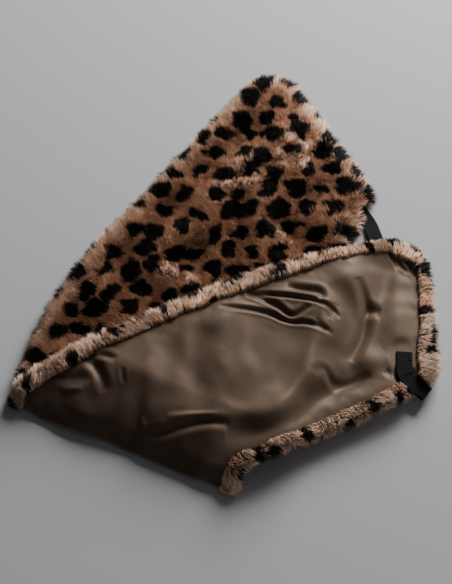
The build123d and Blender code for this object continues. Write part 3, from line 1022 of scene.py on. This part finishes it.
class Ribbon:
    """A ribbon doubled end to end: its base lies on the lining, and its loop turns off in a soft bend."""

    def __init__(self, cut, bend, end, base_middle, tilt, face):
        self.cut, self.bend, self.end = (np.array(p) * MM for p in (cut, bend, end))
        self.base_middle, self.tilt, self.face = base_middle, math.tan(math.radians(tilt)), face
        self.base_dir, self.free_dir = unit(self.bend - self.cut), unit(self.end - self.bend)
        self.onward = unit(self.base_dir + self.free_dir)
        leg = BEND_LEG * np.linspace(1, 0, 9)[:, None]
        share = np.linspace(0, 1, 9)[:, None]
        first, last = self.bend - self.base_dir * leg, self.bend + self.free_dir * leg[::-1]
        arc = first * (1 - share) + last * share
        nose = self.end - self.free_dir * LOOP_HALF
        self.line = spaced(np.concatenate([[self.cut], arc, [nose]]), LINE_STEP)
        self.side = left(unit(np.gradient(self.line, axis=0)))
        self.bend_at = int(np.argmin(((self.line - self.bend) ** 2).sum(1)))

    def near(self, p, line):
        """Distance in plan to a part of the ribbon's middle line."""
        return closest(p, line[::4])[1]

    def covers(self, p):
        """Whether a point in plan is under the ribbon."""
        return self.near(p, self.line) < RIBBON_W / 2 + 0.5 * MM

    def aside(self, roots, p):
        """Move points in plan off the ribbon, to the side that their roots are on."""
        room = RIBBON_W / 2 + 0.6 * MM
        near, gap = closest(p, self.line[::4])
        middle, side = self.line[::4][near], self.side[::4][near]
        off = ((p - middle) * side).sum(1)
        from_root = ((roots - middle) * side).sum(1)
        shift = np.where(gap < room, np.sign(from_root) * room - off, 0)
        return p + shift[:, None] * side

    def pressed(self, p):
        """1 under the base, where the ribbon presses the satin flat, falling to 0 around it."""
        return smooth(1 - (self.near(p, self.line[: self.bend_at + 1]) - RIBBON_W / 2) / (9 * MM))

    def sunk(self, p):
        """1 under the loop, where the satin falls away from it, and 0 a little beside it."""
        return smooth(1 - (self.near(p, self.line[self.bend_at :]) - RIBBON_W / 2) / (5 * MM))

    def at(self, k, v, layer):
        """Point k of the middle line, v across, on the upper layer (1), the lower (-1) or between (0)."""
        beyond = max(k - self.bend_at, 0) / (len(self.line) - 1 - self.bend_at)
        open_up = SHEETS_APART / 2 + (LOOP_HALF - SHEETS_APART / 2) * beyond ** 1.3
        plan = self.line[k] + self.side[k] * v
        sink = np.linalg.norm(self.line[k] - self.bend) * self.tilt if k > self.bend_at else 0
        ripple = 0.2 * MM * math.sin(k * 0.035 + 0.9)
        return np.array([*plan, self.base_middle - sink + ripple * beyond + layer * open_up])

    def build(self, name):
        across = np.linspace(-0.5, 0.5, 13) * RIBBON_W
        last = len(self.line) - 1
        rows = [[self.at(k, v, 1) for v in across] for k in range(last + 1)]
        nose = np.append(self.free_dir * LOOP_HALF, 0)
        rise = np.array([0, 0, LOOP_HALF])
        for a in np.linspace(math.pi / 2, -math.pi / 2, 22)[1:-1]:
            rows.append([self.at(last, v, 0) + nose * math.cos(a) + rise * math.sin(a) for v in across])
        rows += [[self.at(k, v, -1) for v in across] for k in range(last, -1, -1)]
        grid = np.array(rows)
        normal = unit(np.cross(np.gradient(grid, axis=0), np.gradient(grid, axis=1)))
        ribs = np.sin(travelled(grid[:, 6]) * 2 * math.pi / RIB_PITCH)
        grid = grid + normal * RIB_HEIGHT * ribs[:, None, None]
        count = grid.shape[1]
        faces = []
        for i in range(grid.shape[0] - 1):
            for j in range(count - 1):
                a = i * count + j
                faces.append((a, a + count, a + count + 1, a + 1))
        piece = mesh_object(name, grid.reshape(-1, 3), faces, RIBBON_LOOK)
        thick = piece.modifiers.new("thickness", "SOLIDIFY")
        thick.thickness, thick.offset = RIBBON_T, 0
        return piece

    def stitches(self, pitch=3.4 * MM, rows=(2.2 * MM, 8.2 * MM)):
        """Paths of the stitches across the base, on its face (1 up, -1 down)."""
        side = np.array([-self.base_dir[1], self.base_dir[0]])
        paths = []
        for row in rows:
            for k in range(-2, 2):
                v = (k + 0.5) * pitch
                middle = self.at(int(row / LINE_STEP), v, self.face)
                paths.append(stitch_path(middle, np.append(side, 0.12), 2.6 * MM, self.face))
        return paths

    def loose_ends(self):
        """Two thread ends that stand out beside the cut end."""
        top = np.array([*(self.cut + self.base_dir * 4 * MM), self.base_middle + 0.8 * MM])
        paths = []
        for turn, reach in ((0.05, 15), (-0.35, 11)):
            run = np.array([math.cos(turn), math.sin(turn)]) * reach * MM
            steps = np.linspace(0.4, 1, 8)
            paths.append([top + np.array([*(run * t), 1.6 * MM * math.sin(2.6 * t)]) for t in steps])
        return paths


def stitch_path(middle, run, length, face):
    """One stitch: it comes up, lies on the cloth and goes down again."""
    lie = unit(np.array(run, float))
    path = []
    for t, rise in ((-0.5, -0.5), (-0.42, 0.25), (-0.2, 0.42), (0.2, 0.42), (0.42, 0.25), (0.5, -0.5)):
        path.append(middle + lie * t * length + np.array([0, 0, face * rise * MM]))
    return path


def threads(name, paths, radius, sides=6):
    """Round threads along paths, as closed tubes."""
    points, faces = [], []
    for path in paths:
        path = np.array(path)
        tangent = unit(np.gradient(path, axis=0))
        side = unit(np.cross(tangent, np.array([0.23, 0.11, 0.97])))
        up = np.cross(side, tangent)
        start = len(points)
        for centre, u, w in zip(path, side, up):
            for k in range(sides):
                a = 2 * math.pi * k / sides
                points.append(tuple(centre + (u * math.cos(a) + w * math.sin(a)) * radius))
        for i in range(len(path) - 1):
            for k in range(sides):
                a, b = start + i * sides + k, start + i * sides + (k + 1) % sides
                faces.append((a, b, b + sides, a + sides))
        faces.append(tuple(start + k for k in reversed(range(sides))))
        faces.append(tuple(start + (len(path) - 1) * sides + k for k in range(sides)))
    return mesh_object(name, np.array(points), faces, THREAD_LOOK)


def edge_stitches(name, half, face, body):
    """Small slanted stitches that hold the edge of a lining to the rim."""
    line = half.satin_edge(STITCH_IN)
    keep = (past_fold(line) < -4 * MM) & ~half.ribbon.covers(line)
    line, heading = line[keep], unit(np.gradient(line, axis=0))[keep]
    pitch = int(STITCH_STEP / EDGE_STEP)
    at, heading = line[::pitch], heading[::pitch]
    middle = half.place(at, half.depth_of(at, np.full(len(at), STITCH_IN)))
    slant = unit(heading + 0.5 * left(heading))
    paths = [stitch_path(m, (*d, 0), 2.8 * MM, face) for m, d in zip(middle, slant)]
    piece = threads(name, paths, EDGE_THREAD_R)
    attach(piece, body)
    return piece


# ---------------------------------------------------------------- camera, light and floor
def aim(thing, target):
    thing.rotation_euler = (Vector(target) - thing.location).to_track_quat("-Z", "Y").to_euler()


def set_camera():
    tilt, distance = math.radians(60), 1.15
    target = Vector((3 * MM, -29 * MM, 0))
    data = bpy.data.cameras.new("camera")
    data.sensor_fit = "HORIZONTAL"
    data.sensor_width = 36
    data.lens = 94.4
    camera = placed("camera", data)
    camera.location = target + Vector((0, -math.cos(tilt), math.sin(tilt))) * distance
    aim(camera, target)
    bpy.context.scene.camera = camera


def area_light(name, place, size, power, colour):
    data = bpy.data.lights.new(name, "AREA")
    data.shape = "RECTANGLE"
    data.size, data.size_y = size
    data.energy = power
    data.color = colour
    lamp = placed(name, data)
    lamp.location = place
    aim(lamp, (0, 0, 0))


def set_light():
    area_light("window", (0.74, 1.36, 0.82), (0.9, 0.9), 60, (1.0, 0.97, 0.94))
    area_light("front", (0.9, -0.9, 0.3), (0.8, 0.8), 1.7, (1.0, 0.96, 0.93))
    area_light("overhead", (0.3, 0.6, 1.9), (1.2, 1.2), 1.1, (1.0, 0.98, 0.96))
    world = bpy.data.worlds.new("studio")
    bpy.context.scene.world = world
    world.use_nodes = True
    world.node_tree.nodes["Background"].inputs["Color"].default_value = (0.80, 0.84, 0.90, 1)
    world.node_tree.nodes["Background"].inputs["Strength"].default_value = 0.03


def set_floor():
    half = 3.0
    corners = [(-half, -half, 0), (half, -half, 0), (half, half, 0), (-half, half, 0)]
    look = Look("floor", (0.52, 0.53, 0.55), 0.9).material
    floor = mesh_object("floor", np.array(corners) - [0, 0, 0.2 * MM], [(0, 1, 2, 3)], look)


set_camera()
set_light()
set_floor()

# The ribbons, along the same points in plan as in the CAD model
lower_ribbon = Ribbon((125, 88), (147, 48.5), (151.5, 28.5), 1.2 * MM, -5, -1)
upper_ribbon = Ribbon((168.5, -102), (166.5, -126), (187, -143), 15.0 * MM, 12, 1)

# ---------------------------------------------------------------- the two halves
# Where the pile is ruffled, as (points in plan, reach to each side), in mm
PARTINGS = [
    ([(-8, 74), (2, 98), (18, 117), (48, 127), (79, 130), (110, 143)], 10),
    ([(5, 86), (22, 90), (39, 95), (60, 112)], 8),
    ([(62, 152), (74, 134), (78, 112)], 13),
    ([(-58, -12), (-45, -17), (-32, -25)], 8),
    ([(40, 40), (52, 30), (58, 18)], 8),
]
lower_path = extended(lower_edge)
lower_spots = Spots(clipped(lower_path, STRIP), 101)
lower = Half(
    lower_path, inward(lower_path), np.full(len(lower_path), SATIN_IN_REAR), in_lower, flat_depth,
    lower_ribbon, lower_spots, (-0.35, -0.30), 300,
)
lower.partings = PARTINGS

upper_path = extended(upper_edge)
upper_square = inward(upper_path)
upper_spots = Spots(clipped(upper_path, STRIP), 202, upper_ribbon.bend + np.array([14, 4]) * MM)
pulled = REAR_DRAWN * at_rear_end(upper_path, upper_square)
pulled = pulled - FRONT_PUSHED * at_front(upper_path, upper_square)
upper = Half(
    upper_path + upper_square * pulled[:, None], upper_square,
    satin_inset(upper_path, upper_square) - pulled, in_upper, satin_depth,
    upper_ribbon, upper_spots, (0.30, 0.25), 400,
)
upper.drawn, upper.rim_pile = at_rear_end, UPPER_RIM_PILE

# Back of the fur and pile
lower_back = rolled_skin("fur_back_lower", lower, 0, 0.5 * MM)
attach(lower_back, "resting_half")
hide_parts("fur_resting")
upper_back = rolled_skin("fur_back_upper", upper, UPPER_SAG, STRIP)
across_fold(upper_back)
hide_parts("fur_folded", "fur_fold")

lower.grow("pile_lower", lower.face(FAR_IN, 0, FACE_SPACING), "resting_half")
lower.grow("rim_lower", lower.rim(FAR_IN, 0, RIM_SPACING), "resting_half")
upper.grow("pile_upper", upper.face(FAR_IN, 0, HIDDEN_SPACING, UPPER_SAG), "folded_half")
upper.grow("rim_upper", upper.rim(FAR_IN, 0, RIM_SPACING), "folded_half")
upper.grow("pile_fold", combed_along(upper.face(0, STRIP, HIDDEN_SPACING, UPPER_SAG)))
upper.grow("rim_fold", upper.rim(0, STRIP, RIM_SPACING))

# Satin
upper.moves = settled(upper)
satin_upper, upper_cut = satin_sheet("satin_upper", upper, STRIP)
across_fold(satin_upper)
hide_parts("lining_folded", "lining_fold")
satin_lower, lower_cut = satin_sheet("satin_lower", lower, 0.3 * MM)
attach(satin_lower, "resting_half")
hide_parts("lining_resting")

# Wadding
wadding_upper = pad("wadding_upper", upper, upper.satin_edge(PAD_IN)[::3], UPPER_GAP, UPPER_PAD)
across_fold(wadding_upper)
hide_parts("wadding_folded", "wadding_fold")
wadding_lower = pad(
    "wadding_lower", lower, clipped(lower.satin_edge(PAD_IN)[::3], 0), LOWER_GAP, LOWER_PAD
)
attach(wadding_lower, "resting_half")
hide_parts("wadding_resting")

# Ribbons and thread
for ribbon, half, loop, which in (
    (lower_ribbon, "resting_half", "loop_resting", "resting"),
    (upper_ribbon, "folded_half", "loop_folded", "folded"),
):
    piece = ribbon.build("ribbon_" + which)
    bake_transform(piece)
    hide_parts("ribbon_base_" + which, "ribbon_loop_" + which)
    paths = ribbon.stitches() + (ribbon.loose_ends() if which == "folded" else [])
    piece = threads("ribbon_stitches_" + which + "_thread", paths, THREAD_R)
    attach(piece, half)
    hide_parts("ribbon_stitches_" + which)

stitches_upper = edge_stitches("edge_thread_folded", upper, 1, "folded_half")
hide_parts("edge_stitches_folded")
stitches_lower = edge_stitches("edge_thread_resting", lower, -1, "resting_half")
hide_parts("edge_stitches_resting")
